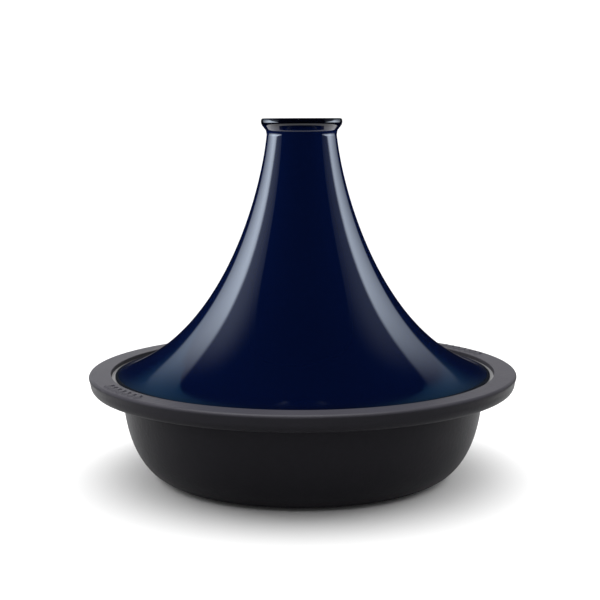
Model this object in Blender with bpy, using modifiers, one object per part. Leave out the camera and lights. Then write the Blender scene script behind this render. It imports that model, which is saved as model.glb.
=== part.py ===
"""Two-piece tagine pot: a wide-rimmed cast-iron dish and a tall, glazed conical lid.

Both pieces are turned solids on the Z axis. Units are metres, +Z is up, and the origin is
the middle of the surface that the dish stands on. The lid rests in a shallow gallery in the
dish's rim and lifts straight off.
"""

import math

import bpy
from mathutils import Vector

# Turning
SEGMENTS = 48
MERGE_DISTANCE = 0.00001
SMOOTH_ANGLE = math.radians(35)
FILLET_STEPS = 2
UNDERCURVE_STEPS = 5

# The gap that touching pieces keep
CLEARANCE = 0.0003

# Dish: the rim and the gallery that the lid stands in
RIM_RADIUS = 0.157
RIM_TOP = 0.0765
RIM_TOP_FILLET = 0.0022
RIM_EDGE_HEIGHT = 0.0122
RIM_EDGE_TAPER = 0.0009
RIM_UNDERCURVE = (0.0045, 0.0068)
RIM_LIP_WIDTH = 0.0068
RIM_LIP_SLOPE = 0.0018
RIM_UNDER_FILLET = 0.001
RIM_PLATE_THICKNESS = 0.007
RIM_PLATE_SLOPE = 0.0014
GALLERY_RADIUS = 0.1406
GALLERY_DEPTH = 0.003
GALLERY_CORNER_FILLET = 0.0005
GALLERY_STEP_SLOPE = 0.0004
RIM_INNER_FILLET = 0.0006

# Dish: the bowl, whose wall curves in a quarter of an ellipse down to a flat foot
WALL_RADIUS = 0.1326
WALL_CURVE_TOP = 0.064
WALL_THICKNESS = 0.0042
FLOOR_THICKNESS = 0.0045
FOOT_RADIUS = 0.099
FOOT_WIDTH = 0.0105
FOOT_HOLLOW = 0.0012
MOUTH_FILLET = 0.0015
WALL_ROOT_FILLET = 0.0035
WALL_STEPS = 12

# Lid: the skirt, from its bottom edge up to the neck
LID_RADIUS = 0.1378
LID_FOOT_HEIGHT = 0.0008
LID_FOOT_INNER_RADIUS = 0.1238
LID_EDGE_FILLET = 0.0005
NECK_RADIUS = 0.0255
NECK_HEIGHT = 0.2485
SKIRT_STEPS = 18
SKIRT_NECK_PULL = (0.0300, 0.2058)
SKIRT_EDGE_PULL = (0.0595, 0.0983)

# Lid: the hollow under the skirt, closed by a dome under the cup
DOME_RADIUS = 0.0235
DOME_BASE_HEIGHT = 0.2265
DOME_RISE = 0.0125
DOME_STEPS = 4
HOLLOW_STEPS = 14
HOLLOW_NECK_PULL = (0.0335, 0.1785)
HOLLOW_EDGE_PULL = (0.0620, 0.1005)

# Lid: the collar, a rolled bead over a chamfer and a cove, and the shallow cup in its top
LID_TOP = 0.26015
COLLAR_TOP_RADIUS = 0.0291
COLLAR_TOP_FILLET = 0.0007
BEAD_RADIUS = 0.0051
BEAD_CENTRE = (0.0244, 0.2578)
BEAD_ANGLES = (14, -34)
BEAD_STEPS = 4
COVE_CORNER = (0.0260, 0.2516)
COVE_FILLET = 0.0025
CUP_RADIUS = 0.0225
CUP_FLOOR_RADIUS = 0.0195
CUP_DEPTH = 0.014
CUP_LIP_FILLET = 0.002
CUP_FLOOR_FILLET = 0.004

# Finishes: colour, roughness, metallic value
ENAMEL = ((0.012, 0.012, 0.014, 1.0), 0.42, 0.0)
GLAZE = ((0.006, 0.014, 0.060, 1.0), 0.12, 0.0)

GALLERY_FLOOR = RIM_TOP - GALLERY_DEPTH
LID_FOOT = GALLERY_FLOOR + CLEARANCE


def clear_scene():
    """Removes whatever the scene starts with."""
    for thing in list(bpy.data.objects):
        bpy.data.objects.remove(thing, do_unlink=True)


def corner(radius, height, fillet=0.0):
    """One outline point, with the radius that rounds it."""
    return Vector((radius, height)), fillet


def ellipse_arc(centre, radii, start, end, steps):
    """Outline points along an ellipse, from one angle in degrees to another."""
    points = []
    for step in range(steps + 1):
        angle = math.radians(start + (end - start) * step / steps)
        radius = centre[0] + radii[0] * math.cos(angle)
        height = centre[1] + radii[1] * math.sin(angle)
        points.append(corner(radius, height))
    return points


def swept_curve(start, start_pull, end_pull, end, steps):
    """Outline points along a cubic Bezier curve."""
    p0, p1, p2, p3 = (Vector(p) for p in (start, start_pull, end_pull, end))
    points = []
    for step in range(steps + 1):
        t = step / steps
        s = 1.0 - t
        place = p0 * s**3 + p1 * 3 * s * s * t + p2 * 3 * s * t * t + p3 * t**3
        points.append(corner(place.x, place.y))
    return points


def fillet_arc(before, at, after, radius):
    """The arc that rounds the corner `at` between two straight runs."""
    back = (before - at).normalized()
    ahead = (after - at).normalized()
    half_angle = back.angle(ahead) / 2
    reach = radius / math.tan(half_angle)
    centre = at + (back + ahead).normalized() * (radius / math.sin(half_angle))
    first = at + back * reach - centre
    last = at + ahead * reach - centre
    turn = first.angle_signed(last)
    start = math.atan2(first.y, first.x)
    points = []
    for step in range(FILLET_STEPS + 1):
        angle = start - turn * step / FILLET_STEPS
        points.append(centre + Vector((math.cos(angle), math.sin(angle))) * radius)
    return points


def rounded(corners):
    """The outline through the corners, with every fillet drawn."""
    points = [corners[0][0]]
    for previous, current, following in zip(corners, corners[1:], corners[2:]):
        at, radius = current
        if radius > 0:
            points += fillet_arc(previous[0], at, following[0], radius)
        else:
            points.append(at)
    points.append(corners[-1][0])
    return points


def dish_outline():
    """From the middle of the bowl's floor, over the rim and down to the middle of the foot."""
    mouth_radius = WALL_RADIUS - WALL_THICKNESS
    wall_centre = (FOOT_RADIUS, WALL_CURVE_TOP)
    inner_radii = (mouth_radius - FOOT_RADIUS, WALL_CURVE_TOP - FLOOR_THICKNESS)
    outer_radii = (WALL_RADIUS - FOOT_RADIUS, WALL_CURVE_TOP)
    rim_centre = (RIM_RADIUS - RIM_TOP_FILLET, RIM_TOP - RIM_TOP_FILLET)
    rim_radii = (RIM_TOP_FILLET, RIM_TOP_FILLET)
    edge_bottom = RIM_TOP - RIM_EDGE_HEIGHT
    edge_radius = RIM_RADIUS - RIM_EDGE_TAPER
    under_centre = (edge_radius - RIM_UNDERCURVE[0], edge_bottom + RIM_UNDERCURVE[1])
    lip_radius = edge_radius - RIM_LIP_WIDTH
    plate_bottom = RIM_TOP - RIM_PLATE_THICKNESS
    foot_inner = FOOT_RADIUS - FOOT_WIDTH

    outline = [corner(0.0, FLOOR_THICKNESS)]
    outline += ellipse_arc(wall_centre, inner_radii, -90, 0, WALL_STEPS)
    outline += [
        corner(mouth_radius, GALLERY_FLOOR, MOUTH_FILLET),
        corner(GALLERY_RADIUS, GALLERY_FLOOR, GALLERY_CORNER_FILLET),
        corner(GALLERY_RADIUS + GALLERY_STEP_SLOPE, RIM_TOP, RIM_INNER_FILLET),
    ]
    outline += ellipse_arc(rim_centre, rim_radii, 90, 0, FILLET_STEPS)
    outline += ellipse_arc(under_centre, RIM_UNDERCURVE, 0, -90, UNDERCURVE_STEPS)
    outline += [
        corner(lip_radius, edge_bottom, RIM_UNDER_FILLET),
        corner(lip_radius - RIM_LIP_SLOPE, plate_bottom, RIM_UNDER_FILLET),
        corner(WALL_RADIUS, plate_bottom - RIM_PLATE_SLOPE, WALL_ROOT_FILLET),
    ]
    outline += ellipse_arc(wall_centre, outer_radii, 0, -90, WALL_STEPS)
    outline += [
        corner(foot_inner, 0.0),
        corner(foot_inner - FOOT_HOLLOW, FOOT_HOLLOW),
        corner(0.0, FOOT_HOLLOW),
    ]
    return rounded(outline)


def lid_outline():
    """From the middle of the cup, over the collar, down the skirt and up the hollow inside."""
    neck = (NECK_RADIUS, NECK_HEIGHT)
    skirt_edge = (LID_RADIUS, LID_FOOT + LID_FOOT_HEIGHT)
    hollow_edge = (LID_FOOT_INNER_RADIUS, LID_FOOT)
    dome_centre = (0.0, DOME_BASE_HEIGHT)
    dome_radii = (DOME_RADIUS, DOME_RISE)
    cup_floor = LID_TOP - CUP_DEPTH

    outline = [
        corner(0.0, cup_floor),
        corner(CUP_FLOOR_RADIUS, cup_floor, CUP_FLOOR_FILLET),
        corner(CUP_RADIUS, LID_TOP, CUP_LIP_FILLET),
        corner(COLLAR_TOP_RADIUS, LID_TOP, COLLAR_TOP_FILLET),
    ]
    outline += ellipse_arc(BEAD_CENTRE, (BEAD_RADIUS, BEAD_RADIUS), *BEAD_ANGLES, BEAD_STEPS)
    outline.append(corner(*COVE_CORNER, COVE_FILLET))
    outline += swept_curve(neck, SKIRT_NECK_PULL, SKIRT_EDGE_PULL, skirt_edge, SKIRT_STEPS)
    outline.append(corner(LID_RADIUS, LID_FOOT, LID_EDGE_FILLET))
    hollow = swept_curve(
        (DOME_RADIUS, DOME_BASE_HEIGHT),
        HOLLOW_NECK_PULL,
        HOLLOW_EDGE_PULL,
        hollow_edge,
        HOLLOW_STEPS,
    )
    outline += hollow[:0:-1]
    outline += ellipse_arc(dome_centre, dome_radii, 0, 90, DOME_STEPS)
    return rounded(outline)


def finish_material(name, finish):
    """A Principled material with one colour, roughness and metallic value."""
    colour, roughness, metallic = finish
    material = bpy.data.materials.new(name)
    material.use_nodes = True
    shader = material.node_tree.nodes["Principled BSDF"]
    shader.inputs["Base Color"].default_value = colour
    shader.inputs["Roughness"].default_value = roughness
    shader.inputs["Metallic"].default_value = metallic
    material.diffuse_color = colour
    return material


def turned(name, outline, material, collection):
    """Turns an outline round the Z axis into one closed solid, shaded smooth."""
    profile = bpy.data.meshes.new(name + "_profile")
    points = [(point.x, 0.0, point.y) for point in outline]
    edges = [(index, index + 1) for index in range(len(points) - 1)]
    profile.from_pydata(points, edges, [])

    solid = bpy.data.objects.new(name, profile)
    collection.objects.link(solid)
    screw = solid.modifiers.new("turn", "SCREW")
    screw.axis = "Z"
    screw.steps = SEGMENTS
    screw.render_steps = SEGMENTS
    screw.use_merge_vertices = True
    screw.merge_threshold = MERGE_DISTANCE

    evaluated = solid.evaluated_get(bpy.context.evaluated_depsgraph_get())
    mesh = bpy.data.meshes.new_from_object(evaluated)
    mesh.name = name
    mesh.materials.append(material)
    mesh.shade_smooth()
    mesh.set_sharp_from_angle(angle=SMOOTH_ANGLE)
    solid.modifiers.clear()
    solid.data = mesh
    bpy.data.meshes.remove(profile)
    return solid


def main():
    clear_scene()
    pot = bpy.data.collections.new("tagine_pot")
    bpy.context.scene.collection.children.link(pot)
    enamel = finish_material("satin_black_enamel", ENAMEL)
    glaze = finish_material("navy_glaze", GLAZE)
    turned("dish", dish_outline(), enamel, pot)
    turned("lid", lid_outline(), glaze, pot)


main()
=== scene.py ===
"""Tagine pot: the finished surfaces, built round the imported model, with a plain studio.

Two turned pieces replace the two plain CAD solids: a satin-black enamelled cast-iron dish and
a navy-glazed stoneware lid. All lengths are metres, +Z is up and both pieces turn about Z.
"""

import math

import bmesh
import bpy
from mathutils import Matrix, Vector
from mathutils import noise


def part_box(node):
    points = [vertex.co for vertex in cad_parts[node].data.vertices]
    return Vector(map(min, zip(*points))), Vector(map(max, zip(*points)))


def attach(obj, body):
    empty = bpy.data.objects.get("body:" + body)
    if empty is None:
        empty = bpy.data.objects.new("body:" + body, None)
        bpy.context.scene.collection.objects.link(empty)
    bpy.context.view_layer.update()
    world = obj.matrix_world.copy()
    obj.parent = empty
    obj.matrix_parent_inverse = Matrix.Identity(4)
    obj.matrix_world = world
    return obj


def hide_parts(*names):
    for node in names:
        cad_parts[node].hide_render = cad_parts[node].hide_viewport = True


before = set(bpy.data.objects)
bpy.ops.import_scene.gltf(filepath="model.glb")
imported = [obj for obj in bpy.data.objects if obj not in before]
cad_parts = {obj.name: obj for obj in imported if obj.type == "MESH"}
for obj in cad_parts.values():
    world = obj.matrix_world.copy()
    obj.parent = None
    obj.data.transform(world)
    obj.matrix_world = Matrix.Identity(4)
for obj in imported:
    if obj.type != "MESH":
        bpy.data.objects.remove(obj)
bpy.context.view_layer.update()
dish_low, dish_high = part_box("dish")
lid_low, lid_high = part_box("lid")

# Driving sizes, read from the frame
RIM_RADIUS = dish_high.x
RIM_TOP = dish_high.z
LID_RADIUS = lid_high.x
LID_FOOT = lid_low.z
LID_TOP = lid_high.z

# Dish: the rim and the gallery that the lid stands in
RIM_TOP_FILLET = 0.0022
RIM_EDGE_HEIGHT = 0.0122
RIM_EDGE_TAPER = 0.0009
RIM_UNDERCURVE = (0.0045, 0.0068)
RIM_LIP_WIDTH = 0.0068
RIM_LIP_SLOPE = 0.0018
RIM_UNDER_FILLET = 0.001
RIM_PLATE_THICKNESS = 0.007
RIM_PLATE_SLOPE = 0.0014
GALLERY_RADIUS = 0.1406
SEAT_GAP = 0.0003
GALLERY_FLOOR = LID_FOOT - SEAT_GAP
SEAT_TOLERANCE = 0.0001
GALLERY_CORNER_FILLET = 0.0005
GALLERY_STEP_SLOPE = 0.0004
RIM_INNER_FILLET = 0.0006

# Dish: the bowl
WALL_RADIUS = 0.1326
WALL_CURVE_TOP = 0.064
WALL_THICKNESS = 0.0042
FLOOR_THICKNESS = 0.0045
FOOT_RADIUS = 0.099
FOOT_WIDTH = 0.0105
FOOT_HOLLOW = 0.0012
FOOT_FILLET = 0.0006
MOUTH_FILLET = 0.0016
WALL_ROOT_FILLET = 0.0035
CAST_WAVE_DETAIL = 22.0
CAST_WAVE_DEPTH = 0.00012

# Lid: the skirt and its unglazed foot
BARE_FOOT_HEIGHT = 0.00005
LID_FOOT_HEIGHT = 0.0008
LID_FOOT_INNER_RADIUS = 0.1238
LID_EDGE_FILLET = 0.00025
# Height of the near-black band round the foot: painted shade for the dark line at the lid's edge
SHADE_LINE_HEIGHT = 0.0016
# Height of the painted shade above the lid's foot
FOOT_SHADE_HEIGHT = 0.0036
FOOT_WEAR_HEIGHT = 0.006
NECK_RADIUS = 0.0255
NECK_HEIGHT = 0.2485
SKIRT_NECK_PULL = (0.0300, 0.2058)
SKIRT_EDGE_PULL = (0.0595, 0.0983)
FIRED_WAVE_DETAIL = 16.0
FIRED_WAVE_DEPTH = 0.0001
FIRED_WAVE_STRETCH = 0.6

# Lid: the hollow inside, the collar and the cup
DOME_RADIUS = 0.0235
DOME_BASE_HEIGHT = 0.2265
DOME_RISE = 0.0125
HOLLOW_NECK_PULL = (0.0335, 0.1785)
HOLLOW_EDGE_PULL = (0.0620, 0.1005)
TURNING_PITCH = 0.0075
TURNING_DEPTH = 0.00012
COLLAR_TOP_RADIUS = 0.0292
COLLAR_TOP_FILLET = 0.0013
BEAD_RADIUS = 0.0051
BEAD_CENTRE = (0.0244, 0.2578)
BEAD_ANGLES = (12, -35)
COVE_CORNER = (0.0260, 0.2516)
COVE_FILLET = 0.003
CUP_RADIUS = 0.0225
CUP_FLOOR_RADIUS = 0.0195
CUP_DEPTH = 0.014
CUP_LIP_FILLET = 0.002
CUP_FLOOR_FILLET = 0.005

# How finely the pieces are turned
TURN_STEPS = 320
FILLET_STEPS = 8
SHARP_ANGLE = math.radians(35)
AXIS_TOLERANCE = 1e-7
RIM_TOP_TOLERANCE = 1e-6

# Raised lozenges on the rim, in two rows on opposite sides
LOZENGE_BEARINGS = (-146.0, 31.0)
LOZENGE_COUNT = 7
LOZENGE_PITCH = 0.0072
LOZENGE_HALF_LENGTH = 0.0048
LOZENGE_HALF_WIDTH = 0.0030
LOZENGE_HEIGHT = 0.0009
LOZENGE_RADIUS = 0.1490
LOZENGE_SHOULDER = 0.35
LOZENGE_STEPS = 150

# Glaze: how thickly it lies, with painted shade on the collar top and near the foot, and its
# colours from thin to pooled
EVEN_GLAZE = 0.5
CUP_GLAZE = 0.85
# Painted shade: extra darkness toward the collar's top, standing in for its dark reflection
BEAD_PAINTED_SHADE = 0.5
# Painted shade: extra darkness over the lowest few millimetres of the skirt, where it meets the
# dish
FOOT_PAINTED_SHADE = 0.4
GLAZE_TONES = (
    (0.40, (0.0017, 0.0068, 0.043, 1.0)),
    (0.62, (0.0012, 0.0055, 0.036, 1.0)),
)

# Studio
NEAR_FLOOR_RADIUS = 0.55
FAR_FLOOR_RADIUS = 8.0
WORLD_FILL = 0.17
WORLD_SEEN = 1.12
WORLD_IN_GLOSS = 0.004
OVERHEAD_SPREAD = 60.0
OVERHEAD_TILT = -8.0
OVERHEAD_STRENGTH = 9.2
FLOOR_SUN_SPREAD = 86.0
FLOOR_SUN_STRENGTH = 3.4
FLOOR_LAMP_PLACE = (0.50, 0.20, 0.20)
FLOOR_LAMP_SIZE = (0.40, 0.30)
FLOOR_LAMP_RADIANCE = 4.0
LID_VEIL_STRENGTH = 0.7
COOL = (0.76, 0.86, 1.0)
PLAIN = (1.0, 1.0, 1.0)
TEAL = (0.18, 0.60, 1.0)
BACK_GLOW_DISTANCE = 1.5
BACK_GLOW_INNER = 0.30
BACK_GLOW_FLOOR = 0.80
BACK_GLOW_TOP = 1.60
SOFTBOX_SIDE = 0.35
SOFTBOX_FRONT = -0.15
SOFTBOX_BACK = 0.60
SOFTBOX_BOTTOM = 0.20
SOFTBOX_TOP = 0.64
STRIP_CEILING = 7.0
STRIP_GAIN = 12.5
STRIP_FADE_BACK = 0.125
STRIP_FADE_UP = 0.13
STRIP_LEVEL = 0.30
HALO_LEVEL = 0.33
HALO_SPREAD = 0.11
HORIZON_LAMPS = 8
HORIZON_RADIUS = 1.3
HORIZON_HEIGHT = 0.3
HORIZON_SIZE = (1.0, 0.5)
HORIZON_FRONT = 0.12
HORIZON_BACK = 1.3
HORIZON_LEAN = 0.35
HORIZON_TARGET = (0.0, 0.0, 0.08)

# Camera
CAMERA_HEIGHT = 0.2653
CAMERA_DISTANCE = 0.9781
CAMERA_PITCH = 8.02
CAMERA_ROLL = 0.2
CAMERA_SIDE = -0.0012
CAMERA_LENS = 80.45


# ---------------------------------------------------------------- outlines
def corner(radius, height, fillet=0.0):
    """One outline point, with the radius that rounds it."""
    return Vector((radius, height)), fillet


def arc(centre, radii, start, end, steps):
    """Outline points along an ellipse, from one angle in degrees to another."""
    points = []
    for step in range(steps + 1):
        angle = math.radians(start + (end - start) * step / steps)
        points.append(
            corner(centre[0] + radii[0] * math.cos(angle), centre[1] + radii[1] * math.sin(angle))
        )
    return points


def swept_curve(start, start_pull, end_pull, end, steps):
    """Outline points along a cubic Bezier curve."""
    p0, p1, p2, p3 = (Vector(p) for p in (start, start_pull, end_pull, end))
    points = []
    for step in range(steps + 1):
        t = step / steps
        s = 1.0 - t
        place = p0 * s**3 + p1 * 3 * s * s * t + p2 * 3 * s * t * t + p3 * t**3
        points.append(corner(place.x, place.y))
    return points


def run(start, end, steps):
    """Outline points between two places, without the two ends."""
    a, b = Vector(start), Vector(end)
    return [corner(*(a + (b - a) * step / steps)) for step in range(1, steps)]


def fillet_arc(before, at, after, radius):
    """The arc that rounds the corner `at` between two straight runs."""
    back = (before - at).normalized()
    ahead = (after - at).normalized()
    half_angle = back.angle(ahead) / 2
    reach = radius / math.tan(half_angle)
    centre = at + (back + ahead).normalized() * (radius / math.sin(half_angle))
    first = at + back * reach - centre
    last = at + ahead * reach - centre
    turn = first.angle_signed(last)
    start = math.atan2(first.y, first.x)
    points = []
    for step in range(FILLET_STEPS + 1):
        angle = start - turn * step / FILLET_STEPS
        points.append(centre + Vector((math.cos(angle), math.sin(angle))) * radius)
    return points


def rounded(corners):
    """The outline through the corners, with every fillet drawn."""
    points = [corners[0][0]]
    for previous, current, following in zip(corners, corners[1:], corners[2:]):
        at, radius = current
        if radius > 0:
            points += fillet_arc(previous[0], at, following[0], radius)
        else:
            points.append(at)
    points.append(corners[-1][0])
    return points


def add_object(name, data):
    """A new object in the scene, made of the data."""
    thing = bpy.data.objects.new(name, data)
    bpy.context.scene.collection.objects.link(thing)
    return thing


# ---------------------------------------------------------------- turned meshes
def turned(name, outline, bearings, surface=None):
    """A closed mesh: the outline turned through the bearings, each point moved by surface()."""
    mesh = bmesh.new()
    rings = []
    for point in outline:
        if point.x < AXIS_TOLERANCE:
            rings.append([mesh.verts.new((0.0, 0.0, point.y))])
            continue
        ring = []
        for bearing in bearings:
            radius, height = point.x, point.y
            if surface:
                radius, height = surface(radius, height, bearing)
            place = (radius * math.cos(bearing), radius * math.sin(bearing), height)
            ring.append(mesh.verts.new(place))
        rings.append(ring)
    for upper, lower in zip(rings, rings[1:]):
        count = max(len(upper), len(lower))
        for index in range(count):
            after = (index + 1) % count
            corners = [upper[index % len(upper)], lower[index % len(lower)]]
            if len(lower) > 1:
                corners.append(lower[after])
            if len(upper) > 1:
                corners.append(upper[after])
            mesh.faces.new(corners)
    bmesh.ops.recalc_face_normals(mesh, faces=mesh.faces)
    data = bpy.data.meshes.new(name)
    mesh.to_mesh(data)
    mesh.free()
    data.shade_smooth()
    data.set_sharp_from_angle(angle=SHARP_ANGLE)
    return add_object(name, data)


def even_bearings(steps):
    """Bearings of an evenly turned piece, in radians."""
    return [2 * math.pi * step / steps for step in range(steps)]


# ---------------------------------------------------------------- dish
def dish_outline():
    """From the middle of the bowl's floor, over the rim and down to the middle of the foot."""
    mouth_radius = WALL_RADIUS - WALL_THICKNESS
    centre = (FOOT_RADIUS, WALL_CURVE_TOP)
    inner_radii = (mouth_radius - FOOT_RADIUS, WALL_CURVE_TOP - FLOOR_THICKNESS)
    outer_radii = (WALL_RADIUS - FOOT_RADIUS, WALL_CURVE_TOP)
    rim_centre = (RIM_RADIUS - RIM_TOP_FILLET, RIM_TOP - RIM_TOP_FILLET)
    edge_bottom = RIM_TOP - RIM_EDGE_HEIGHT
    edge_radius = RIM_RADIUS - RIM_EDGE_TAPER
    under_centre = (edge_radius - RIM_UNDERCURVE[0], edge_bottom + RIM_UNDERCURVE[1])
    taper = math.degrees(math.atan2(RIM_EDGE_TAPER, RIM_EDGE_HEIGHT))
    lip_radius = edge_radius - RIM_LIP_WIDTH
    plate_bottom = RIM_TOP - RIM_PLATE_THICKNESS
    foot_inner = FOOT_RADIUS - FOOT_WIDTH
    step_top = GALLERY_RADIUS + GALLERY_STEP_SLOPE

    outline = [corner(0.0, FLOOR_THICKNESS)]
    outline += run((0.0, FLOOR_THICKNESS), (FOOT_RADIUS, FLOOR_THICKNESS), 24)
    outline += arc(centre, inner_radii, -90, 0, 48)
    outline += run((mouth_radius, WALL_CURVE_TOP), (mouth_radius, GALLERY_FLOOR - MOUTH_FILLET), 4)
    outline.append(corner(mouth_radius, GALLERY_FLOOR, MOUTH_FILLET))
    outline.append(corner(GALLERY_RADIUS, GALLERY_FLOOR, GALLERY_CORNER_FILLET))
    outline.append(corner(step_top, RIM_TOP, RIM_INNER_FILLET))
    flat_start = (step_top + RIM_INNER_FILLET, RIM_TOP)
    outline += run(flat_start, (RIM_RADIUS - RIM_TOP_FILLET, RIM_TOP), 40)
    outline += arc(rim_centre, (RIM_TOP_FILLET, RIM_TOP_FILLET), 90, -taper, 10)
    outline += arc(under_centre, RIM_UNDERCURVE, 0, -90, 16)
    outline.append(corner(lip_radius, edge_bottom, RIM_UNDER_FILLET))
    outline.append(corner(lip_radius - RIM_LIP_SLOPE, plate_bottom, RIM_UNDER_FILLET))
    outline.append(corner(WALL_RADIUS, plate_bottom - RIM_PLATE_SLOPE, WALL_ROOT_FILLET))
    outline += arc(centre, outer_radii, 0, -90, 64)
    outline += [
        corner(foot_inner, 0.0, FOOT_FILLET),
        corner(foot_inner - FOOT_HOLLOW, FOOT_HOLLOW, FOOT_FILLET),
    ]
    outline += run((foot_inner - FOOT_HOLLOW, FOOT_HOLLOW), (0.0, FOOT_HOLLOW), 16)
    outline.append(corner(0.0, FOOT_HOLLOW))
    return rounded(outline)


def dish_bearings():
    """Even bearings, with finer ones through the two rows of lozenges."""
    bearings = set(even_bearings(TURN_STEPS))
    reach = (LOZENGE_COUNT + 1) * LOZENGE_PITCH / 2 / LOZENGE_RADIUS
    for middle in LOZENGE_BEARINGS:
        start = math.radians(middle) - reach
        for step in range(LOZENGE_STEPS + 1):
            bearings.add((start + 2 * reach * step / LOZENGE_STEPS) % (2 * math.pi))
    return sorted(bearings)


def lozenge_rise(radius, bearing):
    """How far the raised lozenges lift the rim's top at one place."""
    for middle in LOZENGE_BEARINGS:
        offset = (bearing - math.radians(middle) + math.pi) % (2 * math.pi) - math.pi
        along = offset * LOZENGE_RADIUS / LOZENGE_PITCH + (LOZENGE_COUNT - 1) / 2
        nearest = min(max(round(along), 0), LOZENGE_COUNT - 1)
        across = abs(radius - LOZENGE_RADIUS) / LOZENGE_HALF_LENGTH
        beside = abs(along - nearest) * LOZENGE_PITCH / LOZENGE_HALF_WIDTH
        inside = 1.0 - across - beside
        if inside > 0:
            share = min(inside / LOZENGE_SHOULDER, 1.0)
            return LOZENGE_HEIGHT * share * share * (3 - 2 * share)
    return 0.0


def dish_surface(radius, height, bearing):
    """The dish's slight cast waviness, and its raised lozenges."""
    place = Vector((radius * math.cos(bearing), radius * math.sin(bearing), height))
    wave = noise.noise(place * CAST_WAVE_DETAIL) * CAST_WAVE_DEPTH
    if height > RIM_TOP - RIM_TOP_TOLERANCE:
        return radius, height + lozenge_rise(radius, bearing)
    return radius + wave - CAST_WAVE_DEPTH, height


def make_dish(enamel, painted_light_seat):
    """The dish, in enamel, with the ring that the lid stands on painted paler as painted light."""
    piece = turned("enamelled_dish", dish_outline(), dish_bearings(), dish_surface)
    piece.data.materials.append(enamel)
    piece.data.materials.append(painted_light_seat)
    # Faces of the ring that the lid stands on get the painted-light finish
    for face in piece.data.polygons:
        out = math.hypot(face.center.x, face.center.y)
        in_gallery = WALL_RADIUS < out < GALLERY_RADIUS
        if in_gallery and abs(face.center.z - GALLERY_FLOOR) < SEAT_TOLERANCE:
            face.material_index = 1
    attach(piece, "dish")
    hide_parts("dish")
    return piece


# ---------------------------------------------------------------- lid
def lid_outline():
    """From the middle of the cup, over the collar, down the skirt and up the hollow inside."""
    neck = (NECK_RADIUS, NECK_HEIGHT)
    skirt_edge = (LID_RADIUS, LID_FOOT + LID_FOOT_HEIGHT)
    hollow_edge = (LID_FOOT_INNER_RADIUS, LID_FOOT)
    cup_floor = LID_TOP - CUP_DEPTH

    outline = [corner(0.0, cup_floor)]
    outline += run((0.0, cup_floor), (CUP_FLOOR_RADIUS, cup_floor), 8)[:-3]
    outline.append(corner(CUP_FLOOR_RADIUS, cup_floor, CUP_FLOOR_FILLET))
    outline.append(corner(CUP_RADIUS, LID_TOP, CUP_LIP_FILLET))
    outline.append(corner(COLLAR_TOP_RADIUS, LID_TOP, COLLAR_TOP_FILLET))
    outline += arc(BEAD_CENTRE, (BEAD_RADIUS, BEAD_RADIUS), *BEAD_ANGLES, 14)
    outline.append(corner(*COVE_CORNER, COVE_FILLET))
    outline += swept_curve(neck, SKIRT_NECK_PULL, SKIRT_EDGE_PULL, skirt_edge, 120)
    outline.append(corner(LID_RADIUS, LID_FOOT, LID_EDGE_FILLET))
    hollow = swept_curve(
        (DOME_RADIUS, DOME_BASE_HEIGHT), HOLLOW_NECK_PULL, HOLLOW_EDGE_PULL, hollow_edge, 200
    )
    for point, _ in hollow[1:-1]:
        point.x += TURNING_DEPTH * math.sin(2 * math.pi * point.y / TURNING_PITCH)
    outline += hollow[:0:-1]
    outline += arc((0.0, DOME_BASE_HEIGHT), (DOME_RADIUS, DOME_RISE), 0, 90, 16)
    outline = rounded(outline)
    outline[-1].x = 0.0
    return outline


def lid_surface(radius, height, bearing):
    """The lid's very slight waviness, from drying and firing."""
    stretched = height * FIRED_WAVE_STRETCH
    place = Vector((radius * math.cos(bearing), radius * math.sin(bearing), stretched))
    wave = noise.noise(place * FIRED_WAVE_DETAIL) * FIRED_WAVE_DEPTH
    return radius + wave - FIRED_WAVE_DEPTH, height


def glaze_pool_and_shade(radius, height):
    """How thickly the glaze lies, 0 where it runs thin over an edge and 1 where it pools, with
    painted shade added on the collar's top and near the foot.
    """
    if height > COVE_CORNER[1]:
        # Painted shade: the collar grows darker toward its top
        outer = min((height - COVE_CORNER[1]) / BEAD_RADIUS, 1.0)
        return EVEN_GLAZE + BEAD_PAINTED_SHADE * outer if radius > CUP_RADIUS else CUP_GLAZE
    if radius > LID_FOOT_INNER_RADIUS:
        # Painted shade: darker toward the foot, where the lid meets the dish
        return EVEN_GLAZE + FOOT_PAINTED_SHADE * foot_nearness(height, FOOT_SHADE_HEIGHT)
    return EVEN_GLAZE


def foot_nearness(height, reach):
    """1 at the lid's foot, falling to 0 at `reach` above it."""
    return max(1.0 - (height - LID_FOOT) / reach, 0.0)


def make_lid(*finishes):
    """The lid, in glaze, a near-black band of painted shade round the foot and bare stoneware
    under it.
    """
    piece = turned("glazed_lid", lid_outline(), even_bearings(TURN_STEPS), lid_surface)
    for finish in finishes:
        piece.data.materials.append(finish)
    piece.data.attributes.new("glaze_pool_and_shade", "FLOAT", "POINT")
    piece.data.attributes.new("foot_wear", "FLOAT", "POINT")
    pool_and_shade, wear = (piece.data.attributes[name].data for name in ("glaze_pool_and_shade", "foot_wear"))
    for vertex in piece.data.vertices:
        radius = math.hypot(vertex.co.x, vertex.co.y)
        pool_and_shade[vertex.index].value = glaze_pool_and_shade(radius, vertex.co.z)
        wear[vertex.index].value = foot_nearness(vertex.co.z, FOOT_WEAR_HEIGHT)
    for face in piece.data.polygons:
        if face.center.z < LID_FOOT + BARE_FOOT_HEIGHT:
            face.material_index = 2
        # Near-black band above the bare foot: painted shade
        elif face.center.z < LID_FOOT + SHADE_LINE_HEIGHT:
            face.material_index = 1
    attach(piece, "lid")
    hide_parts("lid")
    return piece


# ---------------------------------------------------------------- materials
def new_material(name):
    """A material with its node tree and its Principled shader."""
    material = bpy.data.materials.new(name)
    material.use_nodes = True
    tree = material.node_tree
    return material, tree, tree.nodes["Principled BSDF"]


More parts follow.
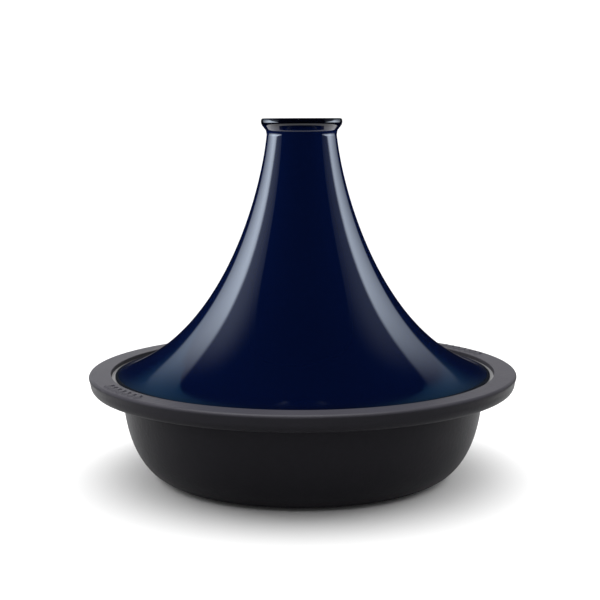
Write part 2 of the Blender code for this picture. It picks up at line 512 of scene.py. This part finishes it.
def add_node(tree, kind, **inputs):
    """A node with some of its inputs set, by name with underscores for spaces."""
    node = tree.nodes.new(kind)
    for key, value in inputs.items():
        node.inputs[key.replace("_", " ")].default_value = value
    return node


def add_tone(tree, texture, shader, dark, light):
    """The texture sets the base colour, between a dark and a light tone."""
    tone = tree.nodes.new("ShaderNodeValToRGB")
    tone.color_ramp.elements[0].color = (*dark, 1.0)
    tone.color_ramp.elements[1].color = (*light, 1.0)
    tree.links.new(texture.outputs["Fac"], tone.inputs["Fac"])
    tree.links.new(tone.outputs["Color"], shader.inputs["Base Color"])


def make_enamel():
    """Satin black enamel: a fine pebbled surface with slightly uneven sheen."""
    material, tree, shader = new_material("satin_black_enamel")
    link = tree.links.new
    coordinate = tree.nodes.new("ShaderNodeTexCoord")
    pebble = add_node(tree, "ShaderNodeTexNoise", Scale=900.0, Detail=3.0, Roughness=0.55)
    patches = add_node(tree, "ShaderNodeTexNoise", Scale=14.0, Detail=4.0, Roughness=0.6)
    orange_peel = add_node(tree, "ShaderNodeTexNoise", Scale=330.0, Detail=2.0, Roughness=0.5)
    for texture in (pebble, patches, orange_peel):
        link(coordinate.outputs["Object"], texture.inputs["Vector"])
    broad = add_node(tree, "ShaderNodeBump", Strength=0.30, Distance=0.0005)
    link(orange_peel.outputs["Fac"], broad.inputs["Height"])
    bump = add_node(tree, "ShaderNodeBump", Strength=0.45, Distance=0.0002)
    link(pebble.outputs["Fac"], bump.inputs["Height"])
    link(broad.outputs["Normal"], bump.inputs["Normal"])
    link(bump.outputs["Normal"], shader.inputs["Normal"])
    satin = add_node(tree, "ShaderNodeMapRange", To_Min=0.38, To_Max=0.50)
    link(patches.outputs["Fac"], satin.inputs["Value"])
    link(satin.outputs["Result"], shader.inputs["Roughness"])
    add_tone(tree, patches, shader, (0.0214, 0.0207, 0.0256), (0.0286, 0.0277, 0.0336))
    shader.inputs["Specular IOR Level"].default_value = 0.06
    return material


def make_painted_light_seat():
    """The ring that the lid stands on: the same enamel, painted paler as painted light, and
    smoother.
    """
    material, tree, shader = new_material("gallery_ring_painted_paler")
    link = tree.links.new
    coordinate = tree.nodes.new("ShaderNodeTexCoord")
    ring_mottle = add_node(tree, "ShaderNodeTexNoise", Scale=220.0, Detail=4.0, Roughness=0.6)
    link(coordinate.outputs["Object"], ring_mottle.inputs["Vector"])
    # Painted light: pale tones that brighten the ring the lid stands on
    add_tone(tree, ring_mottle, shader, (0.032, 0.032, 0.034), (0.056, 0.0555, 0.0575))
    shader.inputs["Roughness"].default_value = 0.40
    shader.inputs["Specular IOR Level"].default_value = 0.2
    shader.inputs["Sheen Weight"].default_value = 0.3
    shader.inputs["Sheen Roughness"].default_value = 0.5
    return material


def make_glaze():
    """Deep navy gloss glaze: lighter where it runs thin, nearly black where it pools and where
    shade is painted on the collar top and near the foot.
    """
    material, tree, shader = new_material("navy_glaze")
    link = tree.links.new
    coordinate = tree.nodes.new("ShaderNodeTexCoord")
    drift = add_node(tree, "ShaderNodeTexNoise", Scale=9.0, Detail=3.0, Roughness=0.5)
    ripple = add_node(tree, "ShaderNodeTexNoise", Scale=55.0, Detail=1.0, Roughness=0.4)
    pores = add_node(tree, "ShaderNodeTexVoronoi", Scale=260.0)
    for texture in (drift, ripple, pores):
        link(coordinate.outputs["Object"], texture.inputs["Vector"])

    # Depth of glaze plus painted shade, with a slow drift, sets the colour
    pool_and_shade = tree.nodes.new("ShaderNodeAttribute")
    pool_and_shade.attribute_name = "glaze_pool_and_shade"
    spread = add_node(tree, "ShaderNodeMapRange", To_Min=-0.12, To_Max=0.12)
    total = tree.nodes.new("ShaderNodeMath")
    link(drift.outputs["Fac"], spread.inputs["Value"])
    link(spread.outputs["Result"], total.inputs[0])
    link(pool_and_shade.outputs["Fac"], total.inputs[1])
    tone = tree.nodes.new("ShaderNodeValToRGB")
    ramp = tone.color_ramp.elements
    ramp[0].color = (0.0060, 0.0170, 0.0700, 1.0)
    ramp[1].color = (0.0006, 0.0011, 0.0050, 1.0)
    for place, colour in GLAZE_TONES:
        ramp.new(place).color = colour
    link(total.outputs["Value"], tone.inputs["Fac"])
    link(tone.outputs["Color"], shader.inputs["Base Color"])

    # A barely uneven, glassy surface with a few pinholes
    pin = add_node(tree, "ShaderNodeMapRange", From_Max=0.07)
    link(pores.outputs["Distance"], pin.inputs["Value"])
    flow = add_node(tree, "ShaderNodeBump", Strength=0.05, Distance=0.0006)
    link(ripple.outputs["Fac"], flow.inputs["Height"])
    pits = add_node(tree, "ShaderNodeBump", Strength=0.10, Distance=0.00006)
    link(pin.outputs["Result"], pits.inputs["Height"])
    link(flow.outputs["Normal"], pits.inputs["Normal"])
    link(pits.outputs["Normal"], shader.inputs["Normal"])
    wear = tree.nodes.new("ShaderNodeAttribute")
    wear.attribute_name = "foot_wear"
    polish = add_node(tree, "ShaderNodeMapRange", To_Min=0.05, To_Max=0.32)
    link(wear.outputs["Fac"], polish.inputs["Value"])
    link(polish.outputs["Result"], shader.inputs["Roughness"])
    shader.inputs["IOR"].default_value = 1.5
    return material


def make_painted_shade_line():
    """The dark matt line round the foot: painted shade for the dark line at the lid's edge."""
    material, tree, shader = new_material("painted_shade_line")
    link = tree.links.new
    coordinate = tree.nodes.new("ShaderNodeTexCoord")
    shade_line_mottle = add_node(tree, "ShaderNodeTexNoise", Scale=300.0, Detail=3.0, Roughness=0.6)
    link(coordinate.outputs["Object"], shade_line_mottle.inputs["Vector"])
    # Painted shade: near-black tones for the dark line at the lid's edge
    add_tone(tree, shade_line_mottle, shader, (0.0012, 0.0018, 0.0060), (0.0060, 0.0062, 0.0110))
    shader.inputs["Roughness"].default_value = 0.6
    shader.inputs["Specular IOR Level"].default_value = 0.1
    return material


def make_stoneware():
    """The bare fired body under the lid's edge."""
    material, tree, shader = new_material("bare_stoneware")
    link = tree.links.new
    coordinate = tree.nodes.new("ShaderNodeTexCoord")
    grit = add_node(tree, "ShaderNodeTexNoise", Scale=1400.0, Detail=4.0, Roughness=0.6)
    link(coordinate.outputs["Object"], grit.inputs["Vector"])
    add_tone(tree, grit, shader, (0.36, 0.30, 0.22), (0.55, 0.49, 0.39))
    bump = add_node(tree, "ShaderNodeBump", Strength=0.5, Distance=0.0002)
    link(grit.outputs["Fac"], bump.inputs["Height"])
    link(bump.outputs["Normal"], shader.inputs["Normal"])
    shader.inputs["Roughness"].default_value = 0.8
    return material


# ---------------------------------------------------------------- studio
def grid_mesh(name, place, across, up):
    """A flat grid of points, place(a, b) with a and b from 0 to 1."""
    points = [place(a / across, b / up) for b in range(up + 1) for a in range(across + 1)]
    width = across + 1
    faces = []
    for b in range(up):
        for a in range(across):
            first = b * width + a
            faces.append((first, first + 1, first + width + 1, first + width))
    mesh = bpy.data.meshes.new(name)
    mesh.from_pydata(points, [], faces)
    return mesh


def add_floor_ring(name, inner, outer, material):
    """A flat ring of floor, or a disc where the inner radius is 0."""
    mesh = bpy.data.meshes.new(name)
    steps = 96
    rings = []
    for radius in (outer, inner):
        for bearing in even_bearings(steps):
            rings.append((radius * math.cos(bearing), radius * math.sin(bearing), 0.0))
    if inner > 0:
        faces = [
            (step, (step + 1) % steps, steps + (step + 1) % steps, steps + step)
            for step in range(steps)
        ]
    else:
        rings = rings[:steps]
        faces = [tuple(range(steps))]
    mesh.from_pydata(rings, [], faces)
    mesh.materials.append(material)
    floor = add_object(name, mesh)
    return floor


def make_floor():
    """A plain pale floor. Only the part near the pot shows in its gloss."""
    material, tree, shader = new_material("pale_floor")
    shader.inputs["Base Color"].default_value = (0.92, 0.92, 0.92, 1.0)
    shader.inputs["Roughness"].default_value = 1.0
    shader.inputs["Specular IOR Level"].default_value = 0.0
    near = add_floor_ring("near_floor", 0.0, NEAR_FLOOR_RADIUS, material)
    far = add_floor_ring("far_floor", NEAR_FLOOR_RADIUS, FAR_FLOOR_RADIUS, material)
    far.visible_glossy = False
    near.visible_diffuse = False
    return near, far


def make_world():
    """White to the eye, dim as soft light and almost black in reflections."""
    world = bpy.data.worlds.new("studio")
    bpy.context.scene.world = world
    world.use_nodes = True
    tree = world.node_tree
    link = tree.links.new
    background = tree.nodes["Background"]
    background.inputs["Color"].default_value = (1.0, 1.0, 1.0, 1.0)
    path = tree.nodes.new("ShaderNodeLightPath")
    seen = add_node(tree, "ShaderNodeMapRange", To_Min=WORLD_FILL, To_Max=WORLD_SEEN)
    level = add_node(tree, "ShaderNodeMapRange", To_Max=WORLD_IN_GLOSS)
    link(path.outputs["Is Camera Ray"], seen.inputs["Value"])
    link(seen.outputs["Result"], level.inputs["To Min"])
    link(path.outputs["Is Glossy Ray"], level.inputs["Value"])
    link(level.outputs["Result"], background.inputs["Strength"])


def light_only(light, *lit):
    """Lets a light reach only some pieces."""
    group = bpy.data.collections.new(light.name + "_lights")
    for piece in lit:
        group.objects.link(piece)
    light.light_linking.receiver_collection = group


def add_sun(name, spread, strength, *lit):
    """A very wide overhead light."""
    light = bpy.data.lights.new(name, "SUN")
    light.angle = math.radians(spread)
    light.energy = strength
    lamp = add_object(name, light)
    light_only(lamp, *lit)
    return lamp


def add_area_light(name, place, target, size, radiance, colour, *lit):
    """A rectangular soft light, `radiance` bright, facing a target."""
    light = bpy.data.lights.new(name, "AREA")
    light.shape = "RECTANGLE"
    light.size, light.size_y = size
    light.energy = radiance * size[0] * size[1] * math.pi
    light.color = colour
    lamp = add_object(name, light)
    lamp.location = place
    facing = Vector(target) - Vector(place)
    lamp.rotation_mode = "QUATERNION"
    lamp.rotation_quaternion = facing.to_track_quat("-Z", "Y")
    light_only(lamp, *lit)
    return lamp


def soft_step(value, width):
    """0 to 1, easing through a band about `width` either side of 0."""
    share = min(max(value / width / 2 + 0.5, 0.0), 1.0)
    return share * share * (3 - 2 * share)


def softbox_radiance(y, z, lead, halo):
    """A graded softbox: bright by the pot, fading back and up, with a faint halo in front."""
    strip = min(STRIP_CEILING, STRIP_GAIN * math.exp(-y / STRIP_FADE_BACK))
    strip *= math.exp((STRIP_LEVEL - z) / STRIP_FADE_UP)
    strip *= soft_step(y - lead - 1.8 * (z - 0.305), 0.03)
    strip *= soft_step(0.38 + 1.2 * (z - 0.26) - y, 0.03)
    strip *= soft_step(z - SOFTBOX_BOTTOM - 0.02, 0.02)
    return strip + halo * math.exp(-(y * y + (z - HALO_LEVEL) ** 2) / (2 * HALO_SPREAD**2))


def make_card_finish(name, colour):
    """A clear card that only adds its glow, read from the mesh."""
    material = bpy.data.materials.new(name)
    material.use_nodes = True
    tree = material.node_tree
    link = tree.links.new
    tree.nodes.clear()
    glow = tree.nodes.new("ShaderNodeAttribute")
    glow.attribute_name = "glow"
    emission = add_node(tree, "ShaderNodeEmission", Color=(*colour, 1.0))
    clear = tree.nodes.new("ShaderNodeBsdfTransparent")
    both = tree.nodes.new("ShaderNodeAddShader")
    output = tree.nodes.new("ShaderNodeOutputMaterial")
    link(glow.outputs["Fac"], emission.inputs["Strength"])
    link(emission.outputs["Emission"], both.inputs[0])
    link(clear.outputs["BSDF"], both.inputs[1])
    link(both.outputs["Shader"], output.inputs["Surface"])
    return material


def add_card(name, low, high, radiance, colour, lit):
    """A glowing card across the box from low to high, `radiance(point)` bright at each point."""
    low, high = Vector(low), Vector(high)

    def place(a, b):
        x = low.x + a * (high.x - low.x)
        y = low.y + a * (high.y - low.y)
        return x, y, low.z + b * (high.z - low.z)

    mesh = grid_mesh(name, place, 60, 44)
    glow = mesh.attributes.new("glow", "FLOAT", "POINT")
    for vertex, value in zip(mesh.vertices, glow.data):
        value.value = radiance(vertex.co)
    mesh.materials.append(make_card_finish(name, colour))
    card = add_object(name, mesh)
    card.visible_camera = False
    card.visible_shadow = False
    card.visible_transmission = False
    light_only(card, lit)


def add_side_softbox(name, side, gain, lead, halo, lit):
    """The graded softbox on one side of the pot."""

    def radiance(point):
        return gain * softbox_radiance(point.y, point.z, lead, halo)

    low = (side * SOFTBOX_SIDE, SOFTBOX_FRONT, SOFTBOX_BOTTOM)
    high = (side * SOFTBOX_SIDE, SOFTBOX_BACK, SOFTBOX_TOP)
    add_card(name, low, high, radiance, COOL, lit)


def add_back_glow(name, side, reach, gain, lit):
    """A dim blue-green wall glow behind the pot, fading in from the middle and from below."""

    def radiance(point):
        inner = soft_step(abs(point.x) - BACK_GLOW_INNER, 0.16)
        outer = soft_step(reach - abs(point.x), 0.12)
        return gain * inner * outer * soft_step(point.z - BACK_GLOW_FLOOR, 0.34)

    low = (side * 0.05, BACK_GLOW_DISTANCE, 0.3)
    high = (side * (reach + 0.15), BACK_GLOW_DISTANCE, BACK_GLOW_TOP)
    add_card(name, low, high, radiance, TEAL, lit)


def make_lights(dish, lid, floors):
    """The studio lamps. Each one reaches only the dish, only the lid or only the floor."""
    overhead = add_sun("overhead", OVERHEAD_SPREAD, OVERHEAD_STRENGTH, dish)
    overhead.rotation_euler = (0.0, math.radians(OVERHEAD_TILT), 0.0)
    add_sun("floor_sun", FLOOR_SUN_SPREAD, FLOOR_SUN_STRENGTH, *floors)
    across, back, height = FLOOR_LAMP_PLACE
    for side, name in ((-1, "floor_lamp_left"), (1, "floor_lamp_right")):
        place = (side * across, back, height)
        target = (side * RIM_RADIUS, 0.0, 0.0)
        add_area_light(name, place, target, FLOOR_LAMP_SIZE, FLOOR_LAMP_RADIANCE, PLAIN, *floors)
    veil = add_sun("lid_veil", 180.0, LID_VEIL_STRENGTH, lid)
    veil.visible_glossy = False

    add_side_softbox("softbox_left", -1, 1.0, 0.0, 0.9, lid)
    add_side_softbox("softbox_right", 1, 0.83, 0.02, 0.54, lid)
    add_back_glow("back_glow_left", -1, 1.35, 0.27, lid)
    add_back_glow("back_glow_right", 1, 0.95, 0.24, lid)

    for index in range(HORIZON_LAMPS):
        bearing = 2 * math.pi * (index + 0.5) / HORIZON_LAMPS
        place = (
            HORIZON_RADIUS * math.cos(bearing),
            HORIZON_RADIUS * math.sin(bearing),
            HORIZON_HEIGHT,
        )
        behind = 0.5 + 0.5 * math.sin(bearing)
        radiance = HORIZON_FRONT + (HORIZON_BACK - HORIZON_FRONT) * behind
        radiance *= 1.0 - HORIZON_LEAN * math.cos(bearing)
        lamp = add_area_light(
            f"horizon_{index}", place, HORIZON_TARGET, HORIZON_SIZE, radiance, PLAIN, dish
        )
        lamp.light_linking.blocker_collection = lamp.light_linking.receiver_collection


def make_camera():
    """A long lens in front of the pot, looking a little down on it."""
    data = bpy.data.cameras.new("camera")
    data.lens = CAMERA_LENS
    data.sensor_width = 36.0
    data.clip_start = 0.05
    camera = add_object("camera", data)
    camera.location = (CAMERA_SIDE, -CAMERA_DISTANCE, CAMERA_HEIGHT)
    camera.rotation_euler = (math.radians(90.0 - CAMERA_PITCH), math.radians(CAMERA_ROLL), 0.0)
    bpy.context.scene.camera = camera


def main():
    """Builds the two pieces, the floor, the lamps and the camera."""
    scene = bpy.context.scene
    scene.view_settings.view_transform = "Standard"
    dish = make_dish(make_enamel(), make_painted_light_seat())
    lid = make_lid(make_glaze(), make_painted_shade_line(), make_stoneware())
    floors = make_floor()
    make_world()
    make_lights(dish, lid, floors)
    make_camera()


main()
